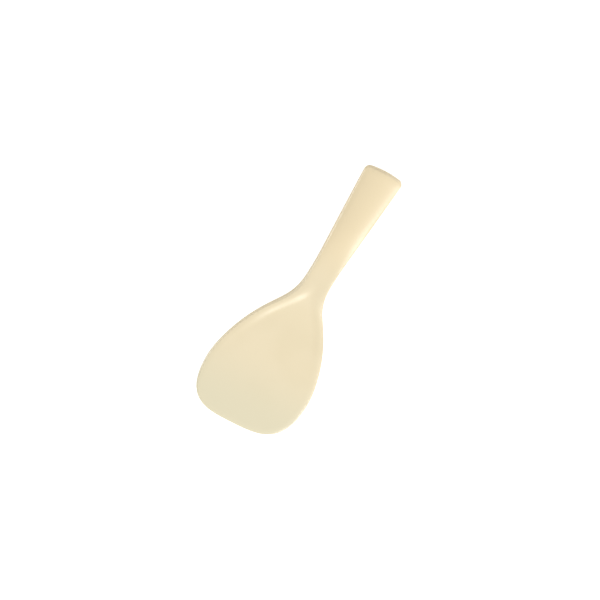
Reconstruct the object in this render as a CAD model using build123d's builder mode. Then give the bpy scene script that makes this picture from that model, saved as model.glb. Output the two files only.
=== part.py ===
from build123d import *
import math
import os

# Rice paddle moulded in one piece: flat blade, raised shoulders, narrow neck and a domed handle.
# All lengths are in millimetres. Places along the paddle are measured from the toe, +Z is up.

# Overall sizes
paddle_length = 195
blade_width = 72
blade_thickness = 2.4
neck_width = 17
handle_end_width = 25.5

# Places along the paddle, measured from the toe
widest_from_toe = 33.7
rim_start_from_toe = 36
ramp_start_from_toe = 71
shoulder_from_toe = 95
neck_from_toe = 114

# Pull points of the blade's outline: widths as shares of the blade's half width, lengths as shares of the
# taper between the widest place and the neck
toe_flatness_share = 0.525
flank_pull_share = 0.25
shoulder_width_share = 0.592
shoulder_place_share = 0.766
throat_pull_share = 0.356

# Pull points of the handle's outline, as shares of the handle's length, and its end
neck_pull_share = 0.2
grip_pull_share = 0.75
grip_flare_angle = 3.2
handle_end_bow = 1.35
handle_corner_radius = 3.6

# Heights of the top face at its edges, and of the dome along the handle's middle
neck_crown = 5.8
handle_end_crown = 7.8
handle_dome = 1.9
dome_start_from_toe = 112
dome_full_from_toe = 162

# Raised rims of the shoulders: their height, the level strip at the edge, which widens from the given place up to
# the neck, and the slope inside the strip
rim_height = 0.9
rim_land = 0.8
throat_land = 2.9
widening_from_toe = 81
rim_run = 8.6

# Underside: flat up to the heel, a short rise below the neck, then the gentle climb of the handle
heel_from_toe = 104
climb_from_toe = 128
climb_lift = 2.1
handle_end_lift = 5
underside_bend_radius = 150

# Shallow recess that thins the back of the handle
recess_start_from_toe = 135
recess_border = 4.8
recess_depth = 1.9
recess_draft_angle = 12
recess_corner_radius = 3.4
recess_floor_radius = 0.9
recess_lip_radius = 0.5

# Rounded edge of the top face and broken edge of the underside, as shares of the blade's thickness
top_edge_share = 0.42
underside_edge_share = 0.27

# How far the shaping solids run past the plan, and how closely the top face follows its heights
overrun = 4
surface_tolerance = 0.02

# Rows of heights along the paddle, and points from the middle of a row to the edge
station_steps = 80
across_steps = 16

blade_half = blade_width / 2
neck_half = neck_width / 2
handle_end_half = handle_end_width / 2
handle_length = paddle_length - neck_from_toe
taper_length = neck_from_toe - widest_from_toe
ceiling = handle_end_crown + handle_dome + overrun
climb_slope = (handle_end_lift - climb_lift) / (paddle_length - climb_from_toe)


def ease(place, start, finish):
    """Rises smoothly from 0 at start to 1 at finish."""
    share = min(max((place - start) / (finish - start), 0), 1)
    return share**3 * (10 - 15 * share + 6 * share**2)


def edge_crown(along):
    """Height of the top face without rims and dome: flat blade, ramp at the neck, gentle climb along the handle."""
    ramp = (neck_crown - blade_thickness) * ease(along, ramp_start_from_toe, neck_from_toe)
    climb = (handle_end_crown - neck_crown) * max(along - neck_from_toe, 0) / handle_length
    return blade_thickness + ramp + climb


def rim_at(along):
    """Height of the shoulder rims above the floor of the blade."""
    rise = ease(along, rim_start_from_toe, shoulder_from_toe)
    return rim_height * rise * (1 - ease(along, shoulder_from_toe, neck_from_toe))


def land_at(along):
    """Width of the level strip between the edge and the slope of a rim."""
    return rim_land + (throat_land - rim_land) * ease(along, widening_from_toe, neck_from_toe)


def dome_at(along):
    """Height of the handle's rounded back above its own edges."""
    return handle_dome * ease(along, dome_start_from_toe, dome_full_from_toe)


def top_height(across, along, half_width):
    """Height of the top face at a point of the paddle."""
    inside = half_width - abs(across)
    slope_start = land_at(along)
    rim = rim_at(along) * (1 - ease(inside, slope_start, slope_start + rim_run))
    dome = dome_at(along) * (1 - (across / half_width) ** 2)
    return edge_crown(along) + rim + dome


# Outline of the paddle's right half, from the toe's middle to the corner of the handle
with BuildLine() as half_plan:
    widest = (blade_half, widest_from_toe)
    neck = (neck_half, neck_from_toe)
    handle_corner = (handle_end_half, paddle_length - handle_end_bow)
    flare = grip_pull_share * handle_length
    toe = Bezier((0, 0), (toe_flatness_share * blade_half, 0), (blade_half, 0), widest)
    flank = Bezier(
        widest,
        (blade_half, widest_from_toe + flank_pull_share * taper_length),
        (shoulder_width_share * blade_half, widest_from_toe + shoulder_place_share * taper_length),
        (neck_half, neck_from_toe - throat_pull_share * taper_length),
        neck,
    )
    grip = Bezier(
        neck,
        (neck_half, neck_from_toe + neck_pull_share * handle_length),
        (
            handle_end_half - flare * math.tan(math.radians(grip_flare_angle)),
            paddle_length - handle_end_bow - flare,
        ),
        handle_corner,
    )


def half_width_at(along):
    """Half the paddle's width at a distance from the toe; the blunt ends keep the width beside them."""
    if along <= widest_from_toe:
        return blade_half
    if along >= paddle_length - handle_end_bow:
        return handle_end_half
    side = flank if along < neck_from_toe else grip
    return side.find_intersection_points(Axis((0, along), (1, 0)))[0].X


def height_row(along):
    """Points of the top face across the paddle, running a little past both sides."""
    half_width = half_width_at(along)
    places = [half_width * step / across_steps for step in range(-across_steps - 2, across_steps + 3)]
    return [(place, along, top_height(place, along, half_width)) for place in places]


# Top face of the whole paddle, from rows of heights that run past the toe and the handle end
run_length = paddle_length + 2 * overrun
rows = [height_row(run_length * step / station_steps - overrun) for step in range(station_steps + 1)]
top_surface = Face.make_surface_from_array_of_points(rows, tol=surface_tolerance, min_deg=3, max_deg=5)

# Plane of the handle's underside: its own Y runs up along the back of the handle
handle_back = Plane((0, climb_from_toe, climb_lift)).rotated((math.degrees(math.atan(climb_slope)), 0, 0))

with BuildPart() as moulding:
    # Side view: flat blade and softly bent underside of neck and handle, up to above the top face
    with BuildSketch(Plane.YZ):
        with BuildLine():
            under = FilletPolyline(
                (-overrun, 0),
                (heel_from_toe, 0),
                (climb_from_toe, climb_lift),
                (paddle_length + overrun, handle_end_lift + climb_slope * overrun),
                radius=underside_bend_radius,
            )
            Polyline(under @ 1, (paddle_length + overrun, ceiling), (-overrun, ceiling), under @ 0)
        make_face()
    extrude(amount=blade_width, both=True)

    # Plan: the outline, its mirror image and the bowed end of the handle with rounded corners
    with BuildSketch() as plan:
        with BuildLine():
            add(half_plan.line)
            mirror(about=Plane.YZ)
            SagittaArc(
                (-handle_end_half, paddle_length - handle_end_bow),
                handle_corner,
                handle_end_bow,
            )
        make_face()
        fillet(plan.vertices().sort_by(Axis.Y)[-2:], handle_corner_radius)
    extrude(amount=ceiling, mode=Mode.INTERSECT)

    # The walls reach up to the ceiling, so the five lowest faces are the underside
    underside = moulding.faces().sort_by(Axis.Z)[:5]
    chamfer(underside.edges().filter_by(GeomType.LINE, reverse=True), blade_thickness * underside_edge_share)

    # Top face, and the soft edge all round it
    extrude(top_surface, amount=paddle_length, dir=(0, 0, -1), mode=Mode.INTERSECT)
    top_face = moulding.faces().filter_by(GeomType.BSPLINE).sort_by(SortBy.AREA)[-1]
    fillet(top_face.edges(), blade_thickness * top_edge_share)

    # Recess in the handle's back
    recess_near_half = half_width_at(recess_start_from_toe) - recess_border
    recess_far_half = handle_end_half - recess_border
    recess_near = recess_start_from_toe - climb_from_toe
    recess_far = paddle_length - climb_from_toe - recess_border
    with BuildSketch(handle_back) as recess:
        with BuildLine():
            Polyline(
                (-recess_near_half, recess_near),
                (recess_near_half, recess_near),
                (recess_far_half, recess_far),
                (-recess_far_half, recess_far),
                close=True,
            )
        make_face()
        fillet(recess.vertices(), recess_corner_radius)
    extrude(amount=recess_depth, taper=recess_draft_angle, mode=Mode.SUBTRACT)
    recess_edges = moulding.edges(Select.LAST).group_by(Axis(handle_back.origin, handle_back.z_dir))
    fillet(recess_edges[0], recess_lip_radius)
    fillet(recess_edges[-1], recess_floor_radius)

# The frame's origin is under the middle of the paddle
with BuildPart() as paddle:
    with Locations((0, -paddle_length / 2)):
        add(moulding.part)

paddle.part.label = "paddle"
os.makedirs("parts", exist_ok=True)
export_step(paddle.part, "parts/paddle.step")
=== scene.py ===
# %% [markdown]
# A rice paddle is one shot of ivory plastic: a flat blade, two raised shoulders, a narrow neck and a domed handle.
# Its solid comes from the CAD model, which the first cell loads as a fixed frame in metres, +Z up and +Y to the
# handle end. Nothing is moved afterwards, so the box measured here holds for the later cells.

import math
from collections import Counter

import bpy
import numpy as np
from mathutils import Matrix, Vector
from mathutils.geometry import delaunay_2d_cdt


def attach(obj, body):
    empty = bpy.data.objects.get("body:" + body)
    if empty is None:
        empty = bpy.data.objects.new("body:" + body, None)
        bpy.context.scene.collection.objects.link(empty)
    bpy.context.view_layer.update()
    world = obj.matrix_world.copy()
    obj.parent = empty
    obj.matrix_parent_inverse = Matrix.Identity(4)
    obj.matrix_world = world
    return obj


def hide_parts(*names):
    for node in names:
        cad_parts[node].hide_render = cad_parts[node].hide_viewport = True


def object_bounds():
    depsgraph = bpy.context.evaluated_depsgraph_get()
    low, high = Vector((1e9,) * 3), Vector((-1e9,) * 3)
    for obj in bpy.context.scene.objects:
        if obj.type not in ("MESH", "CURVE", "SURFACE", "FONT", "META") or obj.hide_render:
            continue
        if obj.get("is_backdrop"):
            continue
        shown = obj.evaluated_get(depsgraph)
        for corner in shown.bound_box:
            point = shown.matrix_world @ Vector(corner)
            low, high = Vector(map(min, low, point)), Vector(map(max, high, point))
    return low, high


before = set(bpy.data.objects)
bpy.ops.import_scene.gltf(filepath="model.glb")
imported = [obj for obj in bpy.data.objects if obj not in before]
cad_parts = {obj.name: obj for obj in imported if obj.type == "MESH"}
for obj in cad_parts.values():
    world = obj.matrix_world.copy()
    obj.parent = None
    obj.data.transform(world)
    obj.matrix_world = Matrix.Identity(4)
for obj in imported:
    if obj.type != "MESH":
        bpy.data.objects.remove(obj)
cad_low, cad_high = (list(corner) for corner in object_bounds())
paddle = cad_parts["paddle"]
MM = 0.001
print("paddle box in mm:", [round((high - low) / MM, 1) for low, high in zip(cad_low, cad_high)])

# %% [markdown]
# The photograph looks down steeply on the paddle, from beyond the end of the handle. A photograph's view is
# given by where the camera stands, which way is up in the picture, and the lens. The outline is the same on both
# sides of the long axis, so the one view in which both sides agree gives all three. The camera is built from
# its own axes, because it is turned over: the near end of the paddle is at the top of the picture.

# %% Camera
picture_width = 600
camera_elevation = math.radians(67)
turn_in_picture = math.radians(60.755)
focal_length_pixels = 2000
camera_distance = 1235.8 * MM
paddle_middle_pixel = (306.9, 299.9)
blade_top = 2.4 * MM

picture_right = Vector((math.sin(turn_in_picture), math.cos(turn_in_picture), 0))
ground_back = Vector((-math.cos(turn_in_picture), math.sin(turn_in_picture), 0))
towards_camera = math.cos(camera_elevation) * ground_back + math.sin(camera_elevation) * Vector((0, 0, 1))
picture_up = math.sin(camera_elevation) * ground_back - math.cos(camera_elevation) * Vector((0, 0, 1))

lens = bpy.data.cameras.new("camera")
lens.sensor_width = 36
lens.lens = focal_length_pixels / picture_width * lens.sensor_width
lens.shift_x = (picture_width / 2 - paddle_middle_pixel[0]) / picture_width
lens.shift_y = (paddle_middle_pixel[1] - picture_width / 2) / picture_width
lens.clip_end = 20
camera = bpy.data.objects.new("camera", lens)
axes = Matrix((picture_right, picture_up, towards_camera)).transposed()
camera.matrix_world = Matrix.Translation(
    Vector((0, 0, blade_top)) + camera_distance * towards_camera
) @ axes.to_4x4()
bpy.context.scene.collection.objects.link(camera)
bpy.context.scene.camera = camera
print("lens in mm:", round(lens.lens, 1))

# %% [markdown]
# The CAD mesh is exact along its edges, but coarse across the top: its slopes are so gentle that a few facets are
# enough for the shape. They aren't enough for the light, because the streak on the left shoulder follows a turn of
# only a few degrees. So the top is laid out once more, from the same heights as the CAD solid. Here they are, in
# millimetres, with places along the paddle measured from the toe. Two lists of pull points give the outline's right
# half, first past the flank and then along the grip, each point as its places across and along.

# %% Heights of the top
blade_half, neck_half, handle_end_half = 36, 8.5, 12.75
blade_thickness, neck_crown, handle_end_crown, handle_dome = 2.4, 5.8, 7.8, 1.9
widest_from_toe, neck_from_toe, corner_from_toe, handle_end_bow = 33.7, 114, 193.65, 1.35
rim_start, ramp_start, shoulder, dome_start, dome_full = 36, 71, 95, 112, 162
rim_height, rim_land, throat_land, widening_start, rim_run = 0.9, 0.8, 2.9, 81, 8.6
flank = [
    (blade_half, widest_from_toe),
    (blade_half, 53.775),
    (21.312, 95.21),
    (neck_half, 85.413),
    (neck_half, neck_from_toe),
]
grip = [
    (neck_half, neck_from_toe),
    (neck_half, 130.2),
    (9.354, 132.9),
    (handle_end_half, corner_from_toe),
]


def curve_points(pulls, steps=200):
    """Points of the smooth curve that starts and ends at the outer points and is pulled towards the others."""
    share = np.linspace(0, 1, steps)[:, None]
    last = len(pulls) - 1
    return sum(math.comb(last, i) * share**i * (1 - share) ** (last - i) * np.array(p) for i, p in enumerate(pulls))


outline = np.vstack([curve_points(flank), curve_points(grip)[1:]])


def ease(place, start, finish):
    """Rises smoothly from 0 at start to 1 at finish."""
    share = np.clip((place - start) / (finish - start), 0, 1)
    return share**3 * (10 - 15 * share + 6 * share**2)


def top_height(across, along):
    """Height of the top: flat blade, ramp at the neck, climbing handle, the rims of the shoulders and the dome."""
    half_width = np.interp(along, outline[:, 1], outline[:, 0])
    inside = half_width - abs(across)
    climb_share = np.maximum(along - neck_from_toe, 0) / (corner_from_toe + handle_end_bow - neck_from_toe)
    crown = blade_thickness + (neck_crown - blade_thickness) * ease(along, ramp_start, neck_from_toe)
    crown = crown + (handle_end_crown - neck_crown) * climb_share
    land = rim_land + (throat_land - rim_land) * ease(along, widening_start, neck_from_toe)
    rim = rim_height * ease(along, rim_start, shoulder) * (1 - ease(along, shoulder, neck_from_toe))
    dome = handle_dome * ease(along, dome_start, dome_full)
    return crown + rim * (1 - ease(inside, land, land + rim_run)) + dome * (1 - (across / half_width) ** 2)


def top_normal(across, along, reach=0.05):
    """Direction that the top faces, from the heights a little to each side."""
    rise_across = top_height(across + reach, along) - top_height(across - reach, along)
    rise_along = top_height(across, along + reach) - top_height(across, along - reach)
    facing = np.stack([-rise_across, -rise_along, np.full_like(across, 2 * reach)], axis=-1)
    return facing / np.linalg.norm(facing, axis=-1, keepdims=True)


for label, along in (("neck", neck_from_toe), ("full dome", dome_full)):
    print("top at the", label, "in mm:", top_height(0.0, along).round(2))

# %% [markdown]
# Now the facets of the old top are found: all their corners lie at the height of the top. Points of the mesh that
# share a place count as one. The border of these facets is kept, with the directions that it has in the CAD mesh, so
# that the new top joins the rounded edge without a seam.

# %% Old top and its border
weld_digits = 4
top_tolerance = 0.035

body = paddle.data
toe = cad_low[1] / MM
corners_at = np.array([corner.co[:] for corner in body.vertices]) / MM
welded = {}
weld = [welded.setdefault(tuple(np.round(corner, weld_digits)), len(welded)) for corner in corners_at]
places = np.array(list(welded))
on_top = abs(places[:, 2] - top_height(places[:, 0], places[:, 1] - toe)) < top_tolerance
directions = [direction.vector[:] for direction in body.corner_normals]

kept, kept_facing, old_top, border_facing = [], [], [], {}
for facet in body.polygons:
    corners = [weld[v] for v in facet.vertices]
    facet_facing = [directions[loop] for loop in facet.loop_indices]
    if len(set(corners)) < len(corners):
        continue
    if on_top[corners].all():
        old_top.append(corners)
        border_facing.update(zip(corners, facet_facing))
    else:
        kept.append(corners)
        kept_facing.extend(facet_facing)

sides = Counter(frozenset(pair) for corners in old_top for pair in zip(corners, corners[1:] + corners[:1]))
border = [tuple(side) for side, count in sides.items() if count == 1]
print("old top:", len(old_top), "facets;", len(border), "sides along its border")

# %% [markdown]
# Inside that border a grid of points one millimetre apart takes the exact heights, and triangles join the points to
# each other and to the border. To keep the grid clear of the border, one function measures how deep inside it a point
# lies. A point is inside when a line from it to the right crosses the border an odd number of times.

# %% New top
grid_step = 1.0
border_clearance = 0.4
merge_distance = 1e-6
start, end = (places[[side[i] for side in border], :2] - (0, toe) for i in (0, 1))
run = end - start


def depth_inside(plan):
    """Distance of points from the border of the top, positive on its inner side."""
    gap = plan[:, None] - start
    share = np.clip((gap * run).sum(axis=-1) / (run**2).sum(axis=-1), 0, 1)
    distance = np.linalg.norm(gap - share[..., None] * run, axis=-1).min(axis=1)
    level_with = (plan[:, None, 1] < start[:, 1]) != (plan[:, None, 1] < end[:, 1])
    side_at = start[:, 0] + gap[..., 1] * run[:, 0] / np.where(run[:, 1] == 0, 1, run[:, 1])
    crossings = (level_with & (plan[:, None, 0] < side_at)).sum(axis=1)
    return np.where(crossings % 2 == 1, distance, -distance)


across_line = np.arange(-math.floor(blade_half), blade_half, grid_step)
along_line = np.arange(grid_step, cad_high[1] / MM - toe, grid_step)
grid = np.array([(x, y) for y in along_line for x in across_line])
grid = grid[depth_inside(grid) > border_clearance]

ring = sorted({corner for side in border for corner in side})
order = {corner: i for i, corner in enumerate(ring)}
flat_points = [Vector(p) for p in places[ring, :2] - (0, toe)] + [Vector(p) for p in grid]
flat_sides = [(order[a], order[b]) for a, b in border]
points, _, triangles, origins, _, _ = delaunay_2d_cdt(flat_points, flat_sides, [], 1, merge_distance)
print("new top:", len(triangles), "triangles on", len(grid), "grid points")

# %% [markdown]
# A real moulded edge is softer than a drawn one. Before the rounding begins, the top already rolls off by a quarter of
# a millimetre, which is what lets the right edges fade into the light. The drop grows with the square of the distance,
# so that it starts without a crease. It takes the rounding along and leaves the walls, the back and the outline alone.

# %% Soft edge
edge_drop = 0.25
edge_width = 3.6
rounding_depth = 1.3
slope_reach = 0.03


def drop_at(plan):
    """How far the soft edge lowers the top."""
    return edge_drop * np.clip(1 - depth_inside(plan) / edge_width, 0, None) ** 2


def roll_off(plan):
    """The drop at some points, and its slope across and along the paddle."""
    slopes = [
        (drop_at(plan + step) - drop_at(plan - step)) / (2 * slope_reach)
        for step in np.array([(slope_reach, 0), (0, slope_reach)])
    ]
    return drop_at(plan), np.stack(slopes, axis=-1)


def tilt(facing, slope):
    """Directions of the surface after it has dropped with a slope."""
    tilted = facing.copy()
    tilted[:, :2] += slope * facing[:, 2:]
    return tilted / np.linalg.norm(tilted, axis=-1, keepdims=True)


plan = places[:, :2] - (0, toe)
in_rounding = top_height(plan[:, 0], plan[:, 1]) - places[:, 2] < rounding_depth
drop, drop_slope = roll_off(plan)
soft_places = places - np.outer(drop * in_rounding, (0, 0, 1))
kept_slope = (drop_slope * in_rounding[:, None])[np.concatenate(kept)]
soft_facing = tilt(np.array(kept_facing), kept_slope)
print("the edge drops by up to", round((drop * in_rounding).max(), 2), "mm")

# %% [markdown]
# The two are put together as one skin, which stands for the CAD solid in the picture. Its corners keep the exact
# directions, tilted where the edge is soft: those of the CAD mesh on the sides and the back, and those of the height
# formula on the top.

# %% Skin of the paddle
flat = np.array([point[:] for point in points])
on_ring = np.array([origin[0] < len(ring) for origin in origins])
top_drop, top_slope = roll_off(flat)
top_facing = top_normal(flat[:, 0], flat[:, 1])
top_facing[on_ring] = [border_facing[ring[origin[0]]] for origin in origins if origin[0] < len(ring)]
top_facing = tilt(top_facing, top_slope)
top_places = np.column_stack([flat + (0, toe), top_height(flat[:, 0], flat[:, 1]) - top_drop])
number = np.empty(len(flat), int)
number[on_ring] = [ring[origin[0]] for origin in origins if origin[0] < len(ring)]
number[~on_ring] = len(places) + np.arange((~on_ring).sum())

skin_places = np.vstack([soft_places, top_places[~on_ring]])
facets = kept + [[int(number[i]) for i in triangle] for triangle in triangles]
skin_facing = np.vstack([soft_facing, top_facing[np.concatenate(triangles)]])

skin_mesh = bpy.data.meshes.new("paddle_skin")
skin_mesh.from_pydata(skin_places * MM, [], facets)
skin_mesh.shade_smooth()
skin_mesh.normals_split_custom_set([tuple(direction) for direction in skin_facing])
skin = bpy.data.objects.new("paddle_skin", skin_mesh)
bpy.context.scene.collection.objects.link(skin)
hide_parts("paddle")
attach(skin, "root")
print("skin:", len(skin_mesh.polygons), "facets")

# %% [markdown]
# Colours are picked as sRGB hex values, the way a paint or plastics chart gives them. Shaders calculate with linear
# light, so one function turns them over. A second one adds a node, sets its values and wires its inputs. A third one
# starts an empty material.

# %% Colour and node helpers
def linear(hex_colour):
    """The linear colour of an sRGB hex value."""
    channels = [int(hex_colour[i:i + 2], 16) / 255 for i in (0, 2, 4)]
    return [c / 12.92 if c <= 0.04045 else ((c + 0.055) / 1.055) ** 2.4 for c in channels] + [1]


def add_node(tree, kind, settings=None, inputs=None):
    """Adds a node, sets its own settings, and fills its inputs with values or with the sockets of other nodes."""
    node = tree.nodes.new(kind)
    for name, value in (settings or {}).items():
        setattr(node, name, value)
    for name, value in (inputs or {}).items():
        if isinstance(value, bpy.types.NodeSocket):
            tree.links.new(value, node.inputs[name])
        else:
            node.inputs[name].default_value = value
    return node


def new_material(name):
    """An empty node material and its tree, with an output node to wire."""
    material = bpy.data.materials.new(name)
    material.use_nodes = True
    material.node_tree.nodes.clear()
    output = material.node_tree.nodes.new("ShaderNodeOutputMaterial")
    return material, material.node_tree, output


# %% [markdown]
# The plastic is polypropylene, injection moulded against a finely blasted steel mould. That gives the eye a satin
# skin: broad soft highlights, no mirror image, and a grain that is only just felt. The ivory isn't one flat colour. It
# drifts a little over the blade, as pigment does in the melt. Painted shade is mixed into the colour too: it turns
# greyer towards the toe and darker and warmer on the handle, standing in for light that falls off away from the neck.

# %% Satin ivory plastic
ivory_pale = "F3E4C2"
ivory_deep = "F0E1BE"
# painted shade: a greyer ivory for the toe
ivory_painted_toe_shade = "E8DFC0"
# painted shade: a darker, warmer ivory for the handle
ivory_painted_handle_shade = "F4E2BC"
cloud_size = 40 * MM
cloud_from, cloud_to = 0.35, 0.65
grain_size = 1.3 * MM
grain_height = 0.026 * MM
# painted shade at the toe fades in from 65 mm to the toe
toe_shade_from, toe_shade_to = cad_low[1] + 65 * MM, cad_low[1]
# painted shade on the handle fades in from 105 mm to 150 mm along the paddle
handle_shade_from, handle_shade_to = cad_low[1] + 105 * MM, cad_low[1] + 150 * MM

plastic, tree, output = new_material("satin_ivory_polypropylene")
place = add_node(tree, "ShaderNodeTexCoord")
along_axis = add_node(tree, "ShaderNodeSeparateXYZ", {}, {"Vector": place.outputs["Object"]}).outputs["Y"]
cloud = add_node(
    tree, "ShaderNodeTexNoise", {}, {"Vector": place.outputs["Object"], "Scale": 1 / cloud_size, "Detail": 2.0}
)
grain = add_node(
    tree, "ShaderNodeTexNoise", {}, {"Vector": place.outputs["Object"], "Scale": 1 / grain_size, "Detail": 3.0}
)
colour = linear(ivory_pale)
for value, start_at, full_at, ivory in (
    (cloud.outputs["Fac"], cloud_from, cloud_to, ivory_deep),
    # painted shade: greyer towards the toe
    (along_axis, toe_shade_from, toe_shade_to, ivory_painted_toe_shade),
    # painted shade: darker and warmer on the handle
    (along_axis, handle_shade_from, handle_shade_to, ivory_painted_handle_shade),
):
    share = add_node(
        tree,
        "ShaderNodeMapRange",
        {"interpolation_type": "SMOOTHERSTEP"},
        {"Value": value, "From Min": start_at, "From Max": full_at},
    )
    tint = add_node(
        tree,
        "ShaderNodeMix",
        {"data_type": "RGBA"},
        {"Factor": share.outputs["Result"], "A": colour, "B": linear(ivory)},
    )
    colour = tint.outputs["Result"]
bump = add_node(
    tree, "ShaderNodeBump", {}, {"Height": grain.outputs["Fac"], "Distance": grain_height, "Strength": 1.0}
)
shader = add_node(
    tree,
    "ShaderNodeBsdfPrincipled",
    {},
    {"Base Color": colour, "Roughness": 0.29, "IOR": 1.49, "Normal": bump.outputs["Normal"]},
)
tree.links.new(shader.outputs["BSDF"], output.inputs["Surface"])
skin_mesh.materials.append(plastic)
print("plastic:", plastic.name)

# %% [markdown]
# The paddle lies on a plain white table under soft studio light. The table is a wide disc that stays a pale
# grey for the light, and is brightened only where the camera looks straight at it.

# %% Table
table_radius = 3.0
table_glow = 0.75
bpy.ops.mesh.primitive_circle_add(vertices=96, radius=table_radius, fill_type="NGON", location=(0, 0, 0))
table = bpy.context.object
table.name = "table"
surface, tree, output = new_material("white_table")
ray = add_node(tree, "ShaderNodeLightPath")
matt = add_node(tree, "ShaderNodeBsdfDiffuse", {}, {"Color": linear("F0F0F0")})
glow = add_node(tree, "ShaderNodeEmission", {}, {"Color": (1, 1, 1, 1), "Strength": table_glow})
both = add_node(tree, "ShaderNodeAddShader", {}, {})
tree.links.new(matt.outputs["BSDF"], both.inputs[0])
tree.links.new(glow.outputs["Emission"], both.inputs[1])
seen = add_node(tree, "ShaderNodeMixShader", {}, {"Fac": ray.outputs["Is Camera Ray"]})
tree.links.new(matt.outputs["BSDF"], seen.inputs[1])
tree.links.new(both.outputs["Shader"], seen.inputs[2])
tree.links.new(seen.outputs["Shader"], output.inputs["Surface"])
table.data.materials.append(surface)
table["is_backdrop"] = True

# %% [markdown]
# The bright streak on the inner slope of the left shoulder, and the right side of the handle fading to white,
# both mirror one large soft light low on the right. A smaller one low on the left draws the thin bright line along the
# handle's left edge, and one behind lifts the end of the handle. The white room fills the rest.

# %% Lights
def soft_box(name, azimuth, elevation, distance, size, power):
    """A square soft light facing the paddle: degrees from +X and above the table, then metres and watts."""
    lamp = bpy.data.lights.new(name, "AREA")
    lamp.size = size
    lamp.energy = power
    holder = bpy.data.objects.new(name, lamp)
    level = distance * math.cos(math.radians(elevation))
    holder.location = (
        level * math.cos(math.radians(azimuth)),
        level * math.sin(math.radians(azimuth)),
        distance * math.sin(math.radians(elevation)),
    )
    holder.rotation_euler = Vector(holder.location).to_track_quat("Z", "Y").to_euler()
    bpy.context.scene.collection.objects.link(holder)


room_fill = 0.37
soft_box("key_light", azimuth=-40, elevation=31, distance=2.4, size=1.25, power=38)
soft_box("left_light", azimuth=203, elevation=22, distance=1.5, size=0.5, power=9)
soft_box("back_light", azimuth=52, elevation=30, distance=1.5, size=0.9, power=8)
print("lights:", [lamp.name for lamp in bpy.data.lights])

room = bpy.data.worlds.new("white_room")
bpy.context.scene.world = room
room.use_nodes = True
tree = room.node_tree
tree.nodes.clear()
ray = add_node(tree, "ShaderNodeLightPath")
fill = add_node(tree, "ShaderNodeBackground", {}, {"Color": (1, 1, 1, 1), "Strength": room_fill})
shown = add_node(tree, "ShaderNodeBackground", {}, {"Color": (1, 1, 1, 1), "Strength": 1.0})
mix = add_node(tree, "ShaderNodeMixShader", {}, {"Fac": ray.outputs["Is Camera Ray"]})
tree.links.new(fill.outputs["Background"], mix.inputs[1])
tree.links.new(shown.outputs["Background"], mix.inputs[2])
output = add_node(tree, "ShaderNodeOutputWorld")
tree.links.new(mix.outputs["Shader"], output.inputs["Surface"])

bpy.context.scene.view_settings.view_transform = "Standard"
